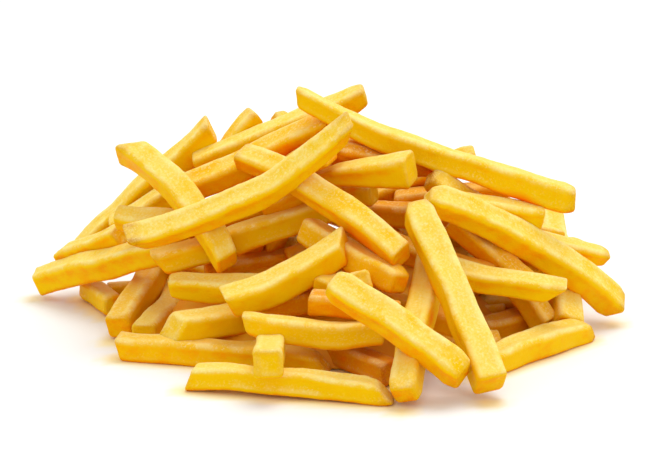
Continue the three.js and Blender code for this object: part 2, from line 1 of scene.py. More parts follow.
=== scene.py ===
"""A loose heap of straight-cut french fries on a bare pale surface.

The heap is laid out in millimetres by the same rule as the CAD solid: the fries of the front and the top
are placed, the others are drawn by a seeded rule, and all of them are settled against each other. Each fry is
then swept as a detailed mesh along its own axis, and the meshes are joined into a few pieces.
"""
import math

import bpy
import numpy as np
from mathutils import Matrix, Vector


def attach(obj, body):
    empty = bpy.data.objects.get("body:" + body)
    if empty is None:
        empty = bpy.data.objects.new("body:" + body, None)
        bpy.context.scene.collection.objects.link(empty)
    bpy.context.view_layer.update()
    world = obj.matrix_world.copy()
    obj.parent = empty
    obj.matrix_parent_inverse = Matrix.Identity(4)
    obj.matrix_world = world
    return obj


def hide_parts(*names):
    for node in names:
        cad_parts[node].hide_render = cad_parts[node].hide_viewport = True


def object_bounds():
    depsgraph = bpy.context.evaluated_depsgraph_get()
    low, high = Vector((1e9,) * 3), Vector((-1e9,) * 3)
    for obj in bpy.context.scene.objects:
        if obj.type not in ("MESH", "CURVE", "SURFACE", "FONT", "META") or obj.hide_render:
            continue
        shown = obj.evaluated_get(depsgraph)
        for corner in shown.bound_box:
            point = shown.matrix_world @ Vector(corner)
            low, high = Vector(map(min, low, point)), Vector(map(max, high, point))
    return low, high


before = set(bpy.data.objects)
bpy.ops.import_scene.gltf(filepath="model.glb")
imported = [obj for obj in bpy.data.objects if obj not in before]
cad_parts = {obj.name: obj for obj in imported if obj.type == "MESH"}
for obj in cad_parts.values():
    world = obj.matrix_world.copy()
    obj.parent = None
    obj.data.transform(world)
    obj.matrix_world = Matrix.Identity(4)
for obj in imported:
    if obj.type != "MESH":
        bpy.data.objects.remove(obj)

cad_low, cad_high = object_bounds()

MM = 0.001  # the layout is in millimetres, the scene in metres

# ---- the layout's driving dimensions, in millimetres, as in the CAD solid ----
MIDDLE = (-1.287, 3.234)  # the middle of the heap's footprint in the layout's own frame
CORE_HEIGHT = 26  # the hidden core, a low dome
CORE_HALF_WIDTH = 70
CORE_HALF_DEPTH = 52
CORE_SETBACK = 10  # how far the core's middle lies behind the origin
END_SHRINK = 0.8  # the end face's size beside the section's
THIN_TIP = 0.75  # a tip smaller than this share of the section is drawn out over the taper's length
TAPER_LENGTH = 9
CONTACT = 0.96  # axes of touching fries lie this share of a thickness apart
SEED = 7
SETTLE_ROUNDS = 160
FILL_ROUNDS = 90
CROWDING = (4, 3, 2, 1.2)  # how far a loose fry may still run into another after each settling
FALL = 0.06  # how far a loose fry sinks in a round
BOND = 0.2  # fries count as touching when they run this far into each other
SEGMENTS = 4  # straight pieces of an axis when contacts are sought
CONTACT_MARGIN = 6  # pairs this much out of reach are still watched while settling
PAIR_ROUNDS = 20  # the pairs are sought again after so many rounds
OVER_PUSH = 1.25  # a round's push beside the mean of what the contacts ask for
PLACED_GIVE = (0.12, 0.6, 0.12)  # how readily a placed fry gives way along each axis
VIEW_TILT = math.radians(16)  # the front's line of sight, down from the horizontal
TRIES = 3000  # draws of a layer, at most
GOLDEN_TURN = 0.618034  # of a turn from one draw to the next
TURN_SPREAD = 0.12
LOOSE_LENGTH = 48  # the shortest loose fry
LENGTH_SPREAD = 32
LOOSE_THICKNESS = 8  # the thinnest loose fry
THICKNESS_SPREAD = 1.6
BOW_SPREAD = 4
BOW_LEAN = 0.4  # the share of the loose fries that sag
STEEPEST = 0.9  # rise over run of a loose fry
ALONGSIDE = 0.8  # cosine above which two fries lie alongside each other
DEEP_ALONGSIDE = 0.45  # how deep a drawn fry may start in one alongside it
DEEP_ACROSS = 0.8  # and in one that it crosses
FOOT_HALF_WIDTH = 104  # the ellipse that all ends of loose fries stay in
FOOT_HALF_DEPTH = 88
STRAY = 1.03  # how far out of it a settled one may end, as a factor
OPEN_BEYOND = 82  # further out than this no loose fry shows from the front
OPEN_LOW = 0  # nor lower in the view than this
OPEN_SHARE = 0.45  # of a loose fry, what may show beside those of the front
DRAW_SLACK = 2  # how far under the outline a drawn fry starts
SLIDE_STEP = 0.25  # of a floating fry on its way to the rest
SLIDE_STEPS = 120
CELL = 2  # width of a cell of the front's depth field
FIELD_ACROSS = 124
FIELD_UP = 108
FIELD_LEFT = -124
FIELD_LOW = -108

# The layers that the loose fries are drawn in: height, half width, half depth, count, nearest to the front.
LAYERS = (
    (40, 80, 66, 36, -60),
    (56, 92, 78, 32, -30),
    (72, 100, 86, 32, -10),
)

# The heap's outline as seen from the front: sideways place and height.
SKYLINE = (
    (-125, 4), (-110, 20), (-101, 29), (-91, 36), (-78, 46), (-67, 60), (-47, 76), (-10, 84),
    (12, 87), (30, 78), (50, 66), (88, 50), (97, 36), (105, 16), (125, 4),
)

# The fries of the front and the top: one end, the other end, thickness, bow (up is positive),
# roll (the top face leans to the front), and for each end how far its top runs past its bottom,
# how far its front runs short of its back, and the tip's size beside the section's. Some have one more
# value: how much they grow from one end to the other, as a share of the thickness.
PLAIN = (0, 0, 1)  # a straight blunt end
PLACED = (
    # on the surface
    ((-47, -58.5, 4), (19, -73.5, 4), 8.4, 1, 0, (-3, 0, 1), (-8, 0, 0.9)),
    ((-73, -25.5, 4.5), (-1.5, -44, 4.5), 8.8, 0, 5, (2, 0, 1), (-7, 0, 0.8)),
    ((52.5, -51, 4.5), (93, -10.5, 4.5), 9.2, 0, 10, PLAIN, (-7, 0, 0.8)),
    ((33.5, -27.5, 3.5), (60, -23, 3.5), 8, 0, 20, PLAIN, PLAIN),
    ((-8, -18, 4), (21.5, -56.5, 4), 8.5, 0, 0, PLAIN, PLAIN),
    ((-91.5, 44, 4), (-79.5, 20.5, 4), 7.6, 0, 0, (0, 0, 0.9), PLAIN),
    # ends that point to the front
    ((35, -12, 29), (25, -76.5, 5), 9.6, 0, -10, PLAIN, (2, 0, 0.9)),
    ((-76, -7.5, 4.5), (-60, 50, 18), 9.4, 0, -5, PLAIN, PLAIN),
    ((-65.5, -16, 4.5), (-56, 24.5, 6), 9.2, 0, -5, PLAIN, PLAIN),
    ((-19.5, -78, 14), (-20, -52, 12), 9.9, 0, 0, PLAIN, PLAIN),
    # lower front
    ((-55, -32, 11.5), (-23.5, -22, 14.5), 9.4, 0, 10, (-6, 3, 1), PLAIN),
    ((-29, -50, 20), (19, -51, 17.5), 8.6, -2, -4, (3, 0, 0.9), PLAIN),
    ((0.5, -57, 37.5), (44.5, -71, 9), 10.2, 0, 40, (0, 0, 0.8), (-2, 0, 0.9)),
    ((-56.5, -8, 21), (-14, -17, 21), 8.8, 0, 20, (1, 1, 0.9), PLAIN),
    ((-35, -33, 22), (6.5, -26, 40), 10.2, -2.5, 18, (1, 0, 1), (0, 5, 1)),
    ((-31, -28, 18), (-2.5, -24, 22), 8.6, 0, 5, PLAIN, PLAIN),
    ((-8, -8, 40), (23.5, -38, 29), 9.4, 0, -10, PLAIN, (0, 2, 0.9)),
    ((11.5, -44, 32.5), (11, -12, 16.5), 8, 0, 10, PLAIN, PLAIN),
    ((-6.5, -38, 25), (24, -45, 23), 7.8, 0, 15, PLAIN, PLAIN),
    ((14, -29, 25), (50, -39, 15), 8, 0, 15, PLAIN, PLAIN),
    ((8, 8, 36), (58, -10, 24), 8.4, 0, 15, PLAIN, PLAIN),
    # right side
    ((30.5, -18, 53), (54.5, -72, 6), 10.5, 0, 10, (0, 0, 0.8), PLAIN),
    ((41, -20, 30), (80, -21, 22.5), 8.4, 0, 25, PLAIN, (8, 0, 1)),
    ((33.5, -14, 56), (104, 17, 5.5), 10, 4.3, 45, (2, 0, 0.8), (3, 0, 0.9), 0.1),
    ((84, 44, 31.5), (87, -10.5, 5), 10.2, 0, -20, PLAIN, PLAIN),
    ((41.5, 1, 48.5), (76, 2, 42), 8.4, 0, 15, PLAIN, PLAIN),
    ((48, 14, 41), (78.5, -5, 5), 9, 0, 5, PLAIN, PLAIN),
    ((45, 2, 44), (70, -8, 22), 8.6, 0, 20, PLAIN, PLAIN),
    ((36, 4, 57.5), (58, 8, 41), 8.8, 0, 40, (0, 0, 0.85), PLAIN),
    ((97, 44, 18.5), (55, 48, 23), 6.8, 0, 15, (0, 0, 0.8), PLAIN),
    ((101.5, 24, 21), (66, 14, 33.5), 7, 0, 25, (2, 0, 0.8), PLAIN),
    # top
    ((-12, 14, 83), (88, 4, 48), 8.9, -3.3, 0, (4, 0, 0.95), (-3, 0, 0.85), 0.22),
    ((-49, 37, 53.5), (13.5, 34, 81), 8.8, 0, 15, PLAIN, (1, 0, 0.9)),
    ((-27.5, 45, 71), (-46, 40, 44.5), 8.2, 0, 15, (2, 0, 0.9), PLAIN),
    ((-20, 50, 70), (2, 26, 36), 7.8, 0, 0, (0, 0, 0.76), PLAIN),
    ((-69, -11, 39.5), (6.5, -13, 80), 9.2, -6, 45, (4, 0, 1), (7, 0, 1), -0.05),
    ((-31.5, 12, 63), (25, -32, 38), 9.2, 4.8, 35, PLAIN, PLAIN, 0.1),
    ((-52.5, 20, 47.4), (0.5, 22, 71), 9.4, 0, 25, PLAIN, PLAIN),
    ((-4, 8, 57.5), (29, -6, 62.5), 8.6, 0, 15, (0, 0, 0.5), PLAIN, 0.7),
    ((2.5, 8, 66), (38, 14, 58), 7, 0, 30, (0, 0, 0.8), (0, 0, 0.7)),
    ((53.5, 30, 59), (15, 34, 41), 7.8, 0, 30, (3, 0, 0.9), PLAIN),
    ((-14.5, 24, 45), (16.5, 12, 49), 8.4, 0, 5, PLAIN, PLAIN),
    # left side
    ((-43.5, 46, 64.8), (-95.5, 51, 14), 9.8, 0, 20, (4, 0, 1), (0, 0, 0.9)),
    ((-71, 22, 62.6), (-35.5, -12, 30.5), 9.9, 4, 28, (2, -5, 1), PLAIN, -0.22),
    ((-77, 17.5, 39), (-48, 9.5, 38), 8.2, 0, 35, PLAIN, PLAIN),
    ((-102.5, 46, 13.5), (-76.5, 28, 29), 8, 0, 20, (0, 0, 0.6), PLAIN),
    ((-110, 47, 6.2), (-53, 8, 31.5), 9.6, 0, 20, (-1, 4, 1), PLAIN),
    ((-61.5, -2, 28), (2, 5, 47), 9.3, -1.6, 0, (4, 0, 1), PLAIN),
    ((-39, 18, 35.5), (-12, 20, 43.5), 8, 0, 15, PLAIN, PLAIN),
    ((-24, 8, 44.5), (3, 10, 56.5), 8.4, 0, 10, PLAIN, PLAIN),
    # inside, seen through the gaps
    ((-4.5, -34, 29.5), (8, -18, 32.5), 7, 0, 15, PLAIN, PLAIN),
    ((4, 22, 39.5), (37.5, 18, 39.5), 8.4, 0, 10, PLAIN, PLAIN),
    ((-45, 8, 21), (-4, 14, 24.5), 9, 0, 10, PLAIN, PLAIN),
    ((-15, 6, 25.5), (15.5, 12, 32.5), 8.6, 0, 20, PLAIN, PLAIN),
    ((-13.5, 20, 58.5), (15, 26, 66), 8, 0, 10, PLAIN, PLAIN),
    ((54, -8.5, 4.5), (84.5, 12.5, 4.5), 8.6, 0, 10, PLAIN, PLAIN),
    ((-51.5, 34, 48), (-80, 38, 29), 8.4, 0, 20, PLAIN, PLAIN),
    ((24.5, 27, 41.5), (65.5, 22, 47), 8.6, 0, 10, PLAIN, PLAIN),
)


# ---- a repeatable draw between 0 and 1, the same as the CAD solid's ----
def draw_from(seed):
    state = seed

    def draw():
        nonlocal state
        whole = 0xFFFFFFFF
        state = (state + 0x6D2B79F5) & whole
        t = ((state ^ (state >> 15)) * (state | 1)) & whole
        t ^= (t + (((t ^ (t >> 7)) * (t | 61)) & whole)) & whole
        return (t ^ (t >> 14)) / 4294967296

    return draw


# ---- the layout: arrays with one row for each fry ----
def dots(p, q):
    return (p * q).sum(-1)


def lengths(p):
    return np.sqrt(dots(p, p))


def units(p):
    return p / lengths(p)[..., None]


def gathered(rows, loose):
    """Rows of (a, b, thick, bow, roll, end, end) and perhaps the growth, as arrays."""

    def column(k):
        return np.array([r[k] for r in rows], float)

    return {
        "a": column(0).reshape(-1, 3),
        "b": column(1).reshape(-1, 3),
        "thick": column(2),
        "bow": column(3),
        "roll": column(4),
        "growth": np.array([r[7] if len(r) > 7 else 0 for r in rows], float),
        "ends": column(slice(5, 7)).reshape(-1, 2, 3),
        "loose": np.full(len(rows), loose),
    }


def some(fries, which):
    return {key: value[which] for key, value in fries.items()}


def both(p, q):
    return {key: np.concatenate([p[key], q[key]]) for key in p}


def ups(fries):
    """The direction square to each axis that points most nearly up."""
    d = units(fries["b"] - fries["a"])
    side = units(np.cross(d, [0.0, 0.0, 1.0]))
    return np.cross(side, d)


def section_ways(fries):
    """For each fry the upward direction, and the directions of its front face and its top face."""
    up = ups(fries)
    side = np.cross(units(fries["b"] - fries["a"]), up)
    side = np.where(side[:, 1:2] > 0, -side, side)
    turn = np.radians(fries["roll"])[:, None]
    front = side * np.cos(turn) - up * np.sin(turn)
    return up, front, up * np.cos(turn) + side * np.sin(turn)


def axis_points(fries, up, shares):
    """Points of the axes at shares of their length, (fries, points, 3)."""
    a = fries["a"][:, None]
    way = (fries["b"] - fries["a"])[:, None]
    rise = fries["bow"][:, None] * 4 * shares * (1 - shares)
    return a + way * shares[..., None] + up[:, None] * rise[..., None]


def contact_shares(fries):
    """Where the contact pieces of the axes begin and end: the ends are cut, so they count as shorter."""
    length = lengths(fries["b"] - fries["a"])
    ends = fries["ends"]
    cut = np.abs(ends[:, :, :2]).max(-1) / 2
    inset = fries["thick"][:, None] / 2 + cut + np.where(ends[:, :, 2] < THIN_TIP, TAPER_LENGTH / 2, 0)
    start = (inset[:, 0] / length)[:, None]
    stop = (1 - inset[:, 1] / length)[:, None]
    return start + (stop - start) * np.arange(SEGMENTS + 1) / SEGMENTS


def nearest(p1, q1, p2, q2):
    """The nearest points of straight pieces, as shares of each, and the step from one to the other."""
    d1, d2, r = q1 - p1, q2 - p2, p1 - p2
    a, e, f, c, b = dots(d1, d1), dots(d2, d2), dots(d2, r), dots(d1, r), dots(d1, d2)
    den = a * e - b * b
    s = np.where(den > 1e-9, np.clip((b * f - c * e) / np.where(den > 1e-9, den, 1), 0, 1), 0.5)
    t = (b * s + f) / e
    s = np.where(t < 0, np.clip(-c / a, 0, 1), np.where(t > 1, np.clip((b - c) / a, 0, 1), s))
    t = np.clip(t, 0, 1)
    return s, t, (p2 + d2 * t[..., None]) - (p1 + d1 * s[..., None])


def nearest_of_paths(p, q):
    """For pairs of bent axes, the nearest pieces: piece of each, share of each, step and distance."""
    s, t, step = nearest(p[:, :-1, None], p[:, 1:, None], q[:, None, :-1], q[:, None, 1:])
    far = lengths(step).reshape(len(p), -1)
    pick = far.argmin(1)
    rows = np.arange(len(p))
    flat = (len(p), -1)
    return (
        pick // SEGMENTS,
        pick % SEGMENTS,
        s.reshape(flat)[rows, pick],
        t.reshape(flat)[rows, pick],
        step.reshape(len(p), -1, 3)[rows, pick],
        far[rows, pick],
    )


def close_pairs(fries, length, give):
    i, j = np.triu_indices(len(length), 1)
    moving = give[i, 1] + give[j, 1] != 0
    i, j = i[moving], j[moving]
    middle = fries["a"] + (fries["b"] - fries["a"]) * 0.5
    reach = (length[i] + length[j] + fries["thick"][i] + fries["thick"][j]) / 2 + CONTACT_MARGIN
    near = lengths(middle[j] - middle[i]) < reach
    return i[near], j[near]


def settle(fries, rounds, fall, placed_give):
    """Fries that run into each other are pushed apart, and loose ones sink."""
    a, b, thick, loose = fries["a"].copy(), fries["b"].copy(), fries["thick"], fries["loose"]
    fries = dict(fries, a=a, b=b)
    give = np.where(loose[:, None], 1.0, np.array(placed_give, float))
    length = lengths(b - a)
    up = ups(fries)
    shares = contact_shares(fries)
    for turn in range(rounds):
        if fall > 0 and turn < rounds / 2:
            a[loose, 2] -= fall
            b[loose, 2] -= fall
        if turn % PAIR_ROUNDS == 0:
            i, j = close_pairs(fries, length, give)
        points = axis_points(fries, up, shares)
        k, l, s, t, step, far = nearest_of_paths(points[i], points[j])
        wanted = (thick[i] + thick[j]) / 2 * CONTACT
        hit = far < wanted
        hi, hj, k, l, s, t, step, far, wanted = (v[hit] for v in (i, j, k, l, s, t, step, far, wanted))
        s = shares[hi, k] + (shares[hi, k + 1] - shares[hi, k]) * s
        t = shares[hj, l] + (shares[hj, l + 1] - shares[hj, l]) * t
        normal = step * (1 / np.maximum(far, 1e-9))[:, None]
        for n in np.nonzero(far < 0.3)[0]:
            p, q = hi[n], hj[n]
            across = np.cross(b[p] - a[p], b[q] - a[q])
            size = lengths(across)
            way = across / size if size > 1e-6 else np.array([0.0, 0.0, 1.0])
            normal[n] = -way if dots(way, a[q] + b[q] - a[p] - b[p]) < 0 else way
        total = dots(normal * normal, give[hi] + give[hj])
        free = total >= 1e-6
        push = np.where(free, (wanted - far) / np.where(free, total, 1), 0)
        moves_a, moves_b, count = np.zeros_like(a), np.zeros_like(b), np.zeros(len(a))
        who = np.stack([hi, hj], 1).ravel()
        share = np.stack([s, t], 1).ravel()
        sign = np.tile([-1.0, 1.0], len(hi))
        both_normal, both_push = np.repeat(normal, 2, 0), np.repeat(push, 2)
        weight = (1 - share) * (1 - share) + share * share
        base = sign[:, None] * both_normal * give[who] * both_push[:, None]
        np.add.at(moves_a, who, base * (1 - share)[:, None] / weight[:, None])
        np.add.at(moves_b, who, base * share[:, None] / weight[:, None])
        np.add.at(count, who, np.repeat(free, 2).astype(float))
        k = (OVER_PUSH / np.maximum(1, count))[:, None]
        a += moves_a * k
        b += moves_b * k
        a[:, 2] = np.maximum(a[:, 2], thick / 2)
        b[:, 2] = np.maximum(b[:, 2], thick / 2)
        way = b - a
        stretch = way * ((length / lengths(way) - 1) / 2)[:, None]
        a -= stretch
        b += stretch
    return fries


# ---- what shows from the front ----
def turned(p):
    """Turned so that x runs across, y up and z towards the front."""
    c, s = math.cos(VIEW_TILT), math.sin(VIEW_TILT)
    return np.stack([p[..., 0], p[..., 2] * c + p[..., 1] * s, p[..., 2] * s - p[..., 1] * c + 200], -1)


def front_field(fries):
    """How near to the front the fries reach, on a grid across the view."""
    field = np.zeros((FIELD_UP, FIELD_ACROSS))
    y = (FIELD_LOW + CELL * (np.arange(FIELD_UP) + 0.5))[:, None]
    x = (FIELD_LEFT + CELL * (np.arange(FIELD_ACROSS) + 0.5))[None]
    for a, b, thick in zip(turned(fries["a"]), turned(fries["b"]), fries["thick"]):
        across = math.hypot(b[0] - a[0], b[1] - a[1])
        if across < 1:
            continue
        ux, uy, rise = (b - a) / across
        upper = thick / 2 * math.sqrt(1 + rise * rise)
        along = (x - a[0]) * ux + (y - a[1]) * uy
        aside = (y - a[1]) * ux - (x - a[0]) * uy
        covers = (np.abs(aside) <= thick / 2 + 0.6) & (along >= -0.5) & (along <= across + 0.5)
        covers &= (y >= min(a[1], b[1]) - thick) & (y <= max(a[1], b[1]) + thick)
        field = np.where(covers, np.maximum(field, a[2] + rise * along + upper), field)
    return field


def stays_hidden(field, a, b, margin):
    """Whether a fry stays behind those of the front, and hardly shows beside them."""
    steps = 12
    shares = (np.arange(steps + 1) / steps)[:, None]
    p = turned(a) + (turned(b) - turned(a)) * shares
    i = np.floor((p[:, 0] - FIELD_LEFT) / CELL).astype(int)
    j = np.floor((p[:, 1] - FIELD_LOW) / CELL).astype(int)
    inside = (i >= 0) & (i < FIELD_ACROSS) & (j >= 0) & (j < FIELD_UP)
    front = np.where(inside, field[np.clip(j, 0, FIELD_UP - 1), np.clip(i, 0, FIELD_ACROSS - 1)], 0)
    if ((front > 0) & (p[:, 2] + margin > front)).any():
        return False
    is_open = front <= 0
    if (is_open & ((np.abs(p[:, 0]) > OPEN_BEYOND) | (p[:, 1] < OPEN_LOW))).any():
        return False
    return is_open.sum() <= (steps + 1) * OPEN_SHARE


def skyline_at(x):
    for (x0, y0), (x1, y1) in zip(SKYLINE, SKYLINE[1:]):
        if x <= x1:
            return y0 + (y1 - y0) * (x - x0) / (x1 - x0)
    return SKYLINE[0][1]


def under_skyline(a, b, thick, slack):
    for k in range(5):
        p = a + (b - a) * (k / 4)
        if turned(p)[1] + thick * 0.62 + 1 > skyline_at(p[0]) + slack:
            return False
    return True


# ---- the loose fries of the inside and the back ----
def slope_height(layer, x, y):
    return layer[0] * (1 - math.hypot(x / layer[1], (y - 2) / layer[2]))


def clashes(f, others):
    """Whether a drawn fry runs too deep into one that lies there, or along it."""
    _, _, step = nearest(f["a"], f["b"], others["a"], others["b"])
    depth = 1 - lengths(step) / ((f["thick"] + others["thick"]) / 2)
    alike = np.abs(dots(units(f["b"] - f["a"]), units(others["b"] - others["a"])))
    return (depth > np.where(alike > ALONGSIDE, DEEP_ALONGSIDE, DEEP_ACROSS)).any()


def strays(a, b, factor):
    """Whether an end lies outside the foot's ellipse, made larger by a factor."""
    return any((p[0] / FOOT_HALF_WIDTH) ** 2 + (p[1] / FOOT_HALF_DEPTH) ** 2 > factor**2 for p in (a, b))


def draw_loose(placed):
    draw = draw_from(SEED)
    field = front_field(placed)
    loose = gathered([], True)
    for layer in LAYERS:
        _, half_width, half_depth, count, front = layer
        got = 0
        for tries in range(1, TRIES + 1):
            if got >= count:
                break
            angle = 2 * math.pi * ((tries * GOLDEN_TURN + draw() * TURN_SPREAD) % 1)
            radius = math.sqrt(0.04 + 0.9 * draw())
            x = math.cos(angle) * radius * half_width
            y = math.sin(angle) * radius * half_depth + 2
            heading = math.atan2(y, x) + draw() * math.pi
            length = LOOSE_LENGTH + LENGTH_SPREAD * draw() * draw()
            thick = LOOSE_THICKNESS + THICKNESS_SPREAD * draw()
            bow = (draw() - BOW_LEAN) * BOW_SPREAD
            roll = draw() * 90
            if y < front:
                continue
            ux, uy = math.cos(heading), math.sin(heading)
            low = slope_height(layer, x - ux * length * 0.4, y - uy * length * 0.4)
            high = slope_height(layer, x + ux * length * 0.4, y + uy * length * 0.4)
            slope = max(-STEEPEST, min(STEEPEST, (high - low) / (0.8 * length)))
            half = length / 2 / math.sqrt(1 + slope * slope)
            z = max(slope_height(layer, x, y) + thick / 2, thick / 2 + abs(slope) * half)
            a = (x - ux * half, y - uy * half, z - slope * half)
            b = (x + ux * half, y + uy * half, z + slope * half)
            if strays(a, b, 1):
                continue
            one = gathered([(a, b, thick, bow, roll, PLAIN, PLAIN)], True)
            a, b = one["a"][0], one["b"][0]
            if not under_skyline(a, b, thick, -DRAW_SLACK) or not stays_hidden(field, a, b, 1):
                continue
            if clashes(some(one, 0), both(loose, placed)):
                continue
            loose = both(loose, one)
            got += 1
    # Those that find no room, or come to lie in front, are taken out step by step.
    for most in CROWDING:
        fries = settle(both(placed, loose), FILL_ROUNDS, FALL, (0, 0, 0))
        first = len(placed["a"])
        kept = []
        for n in range(first, len(fries["a"])):
            a, b = fries["a"][n], fries["b"][n]
            if not stays_hidden(field, a, b, 0) or not under_skyline(a, b, fries["thick"][n], 1):
                continue
            if strays(a, b, STRAY):
                continue
            run = overlaps(some(fries, [n]), fries)[0]
            run[n] = -1
            if run.max() <= most:
                kept.append(n)
        loose = some(fries, kept)
    return loose


# ---- gathering: what still floats is slid along the line of sight until it touches the rest ----
def overlaps(movers, others):
    """How far each of the movers runs into each of the others, axis bows included."""
    p = axis_points(movers, ups(movers), contact_shares(movers))
    q = axis_points(others, ups(others), contact_shares(others))
    n, m = len(p), len(q)
    far = nearest_of_paths(np.repeat(p, m, 0), np.tile(q, (n, 1, 1)))[-1].reshape(n, m)
    return (movers["thick"][:, None] + others["thick"][None]) / 2 - far


def core_height(x, y):
    r = (x / CORE_HALF_WIDTH) ** 2 + ((y - CORE_SETBACK) / CORE_HALF_DEPTH) ** 2
    return np.where(r < 1, CORE_HEIGHT * (1 - r), 0)


def slid_copies(f, ways):
    """One fry, moved by each of the ways: level if it lies on the surface, else along the line of sight."""
    copies = {key: np.repeat(value[None], len(ways), 0) for key, value in f.items()}
    level = min(f["a"][2], f["b"][2]) < f["thick"] / 2 + 0.5
    line = (0, 1, 0) if level else (0, math.cos(VIEW_TILT), -math.sin(VIEW_TILT))
    for key in "ab":
        copies[key] = copies[key] + ways[:, None] * np.array(line, float)
        copies[key][:, 2] = np.maximum(copies[key][:, 2], f["thick"] / 2)
    return copies


def gather(fries):
    steps = np.arange(9)[None, :, None] / 8
    p = fries["a"][:, None] + (fries["b"] - fries["a"])[:, None] * steps
    held = (p[..., 2] < core_height(p[..., 0], p[..., 1])).any(1)
    touching = overlaps(fries, fries) > BOND
    np.fill_diagonal(touching, False)
    ways = np.arange(1, SLIDE_STEPS + 1) * SLIDE_STEP
    ways = np.stack([ways, -ways], 1).ravel()
    while True:
        while True:
            more = held | (touching & held[None]).any(1)
            if (more == held).all():
                break
            held = more
        best = None
        others = some(fries, held)
        for n in np.nonzero(~held)[0]:
            for few in ways.reshape(-1, 8):
                if best and abs(few[0]) >= best[0]:
                    break
                copies = slid_copies(some(fries, n), few)
                bonds = overlaps(copies, others).max(1) > BOND
                if bonds.any():
                    first = int(bonds.argmax())
                    if best is None or abs(few[first]) < best[0]:
                        best = (abs(few[first]), n, copies["a"][first], copies["b"][first])
                    break
        if best is None:
            return some(fries, held)
        _, n, fries["a"][n], fries["b"][n] = best
        row = overlaps(some(fries, [n]), fries)[0] > BOND
        row[n] = False
        touching[n], touching[:, n] = row, row
        held[n] = True


def lay_out():
    placed = settle(gathered(PLACED, False), SETTLE_ROUNDS, 0, PLACED_GIVE)
    return gather(both(placed, draw_loose(placed)))


# ---- how the placed fries differ in colour, and where painted shade darkens some that lie in the heap's shade, by their places in the list above ----
# How dark a fry is, up to 1; below 0 it is paler than most. For some this is their own colour, for others
# painted shade where they lie in the heap's shade. The others are drawn.
DARKER_TONE_AND_SHADE = {
    1: 0.35, 2: 0.1, 3: 0.5, 4: 0.9, 6: -0.1, 7: 0.3, 9: -0.8, 15: 0.9, 16: 0.4, 18: 0.8, 19: 0.5, 20: 0.6,
    24: 0.1, 26: 0.4, 27: 0.5, 37: 0.3, 39: 0.8, 40: 0.2, 47: 0.2, 48: 0.5, 49: 0.6, 50: 0.1, 51: 0.7,
    52: 0.7, 53: 0.7, 54: 0.7, 55: 0.7, 57: 0.6,
}
# Crisp brown ends: which end, how brown, and how far it reaches.
CRISP_ENDS = {
    0: ((1, 0.5, 5),), 1: ((1, 0.5, 5),), 2: ((1, 0.95, 6),), 4: ((1, 0.7, 8),), 6: ((1, 0.4, 5),),
    12: ((1, 0.5, 4),), 21: ((0, 0.7, 5),), 23: ((1, 0.75, 5),), 28: ((0, 0.9, 5), (1, 0.6, 4)),
    29: ((0, 0.6, 5),), 30: ((0, 0.7, 5),), 31: ((0, 0.4, 3), (1, 0.7, 5)), 32: ((1, 0.55, 6),),
    33: ((0, 0.5, 4),), 34: ((0, 0.6, 5),), 35: ((0, 0.9, 6), (1, 0.5, 9)), 36: ((0, 0.6, 4), (1, 0.3, 4)),
    39: ((1, 0.8, 9),), 42: ((0, 0.4, 3),), 43: ((0, 0.4, 3),), 46: ((0, 0.3, 4),),
}
TONE_FROM, TONE_SPREAD = -0.6, 0.8  # the drawn tones
END_BROWN = 0.3  # how brown the other ends are
BROWN_FROM, BROWN_SPREAD = 1.5, 3  # and how far it reaches

# ---- how the fries of the scene are shaped, in millimetres ----
CORNER = 1.9  # radius of a section's corners
RIM = 1.1  # radius of an end's rim, larger where the tip is narrow
RIM_GROWTH = 2.2  # and by how much
RIM_STEPS = 4
CAP_STEPS = 4  # rings of an end face
ARC_STEPS = 4
FINE = (0.8, 7)  # of the placed fries: the distance of rings, and the steps across a face
COARSE = (1.2, 5)  # of the loose ones
TIP_SHARE = END_SHRINK + 0.12  # a tip's size beside the listed one
TIP_REACH = 5.0  # where a blunt end starts to narrow
SIZE_WAVE = 60  # lengths of the slow curves
SINK_WAVE = 45
STRAY_WAVE = 70
TWIST_WAVE = 90
SUNK = 0.4  # how far a face's middle may sink between its edges
DISH = 0.35  # how far an end face sinks
WOBBLE = 0.6  # how far an axis strays from its smooth line
UNEVEN = 0.045  # how much the thickness changes along a fry
TWIST = math.radians(5)
DENTS = (13.0, 0.2)  # length and depth of dents
PITS = (2.2, 0.09)  # length and depth of pits
EDGE_WIDTH = 1.6  # how far the pale edge reaches from an end face

SHAPES_SEED = 11
SHUT_SEED = 5
SHUT_ALONG = 12  # how shut in a fry is, is worked out at so many places along it
SHUT_AROUND = 8
SHUT_PROBES = 14
SHUT_SPREAD = 0.75  # how far the probes fan out
SHUT_NEAR, SHUT_DEPTH = 3, 17  # the probes' distances from the surface
SHUT_END = 0.03  # the first and last places' shares of the length


def lattice(cell, seed):
    """A fixed value between -1 and 1 for each cell of a grid."""
    x, y, z = (cell[..., k].astype(np.uint64) for k in range(3))
    n = (x * np.uint64(73856093)) ^ (y * np.uint64(19349663)) ^ (z * np.uint64(83492791))
    n = (n ^ np.uint64(seed * 2654435761 % 4294967296)) & np.uint64(0xFFFFFFFF)
    for shift in (16, 15):
        n = ((n ^ (n >> np.uint64(shift))) * np.uint64(0x45D9F3B)) & np.uint64(0xFFFFFFFF)
    n ^= n >> np.uint64(16)
    return n.astype(float) / 2147483647.5 - 1


def noise(p, seed):
    """Smooth noise between -1 and 1 at points (..., 3)."""
    cell = np.floor(p).astype(np.int64)
    f = p - cell
    f = f * f * (3 - 2 * f)
    total = np.zeros(p.shape[:-1])
    for corner in np.ndindex(2, 2, 2):
        weight = np.prod(np.where(corner, f, 1 - f), -1)
        total += weight * lattice(cell + np.array(corner) + 4096, seed)
    return total


def layered(p, length, seed, layers=3):
    """Noise of several scales, the longest of them of this length."""
    total = np.zeros(p.shape[:-1])
    for k in range(layers):
        total += noise(p * (2**k / length) + 31 * k, seed + k) * 0.5**k
    return total


def smooth(v):
    """A soft step from 0 to 1."""
    v = np.clip(v, 0, 1)
    return v * v * (3 - 2 * v)


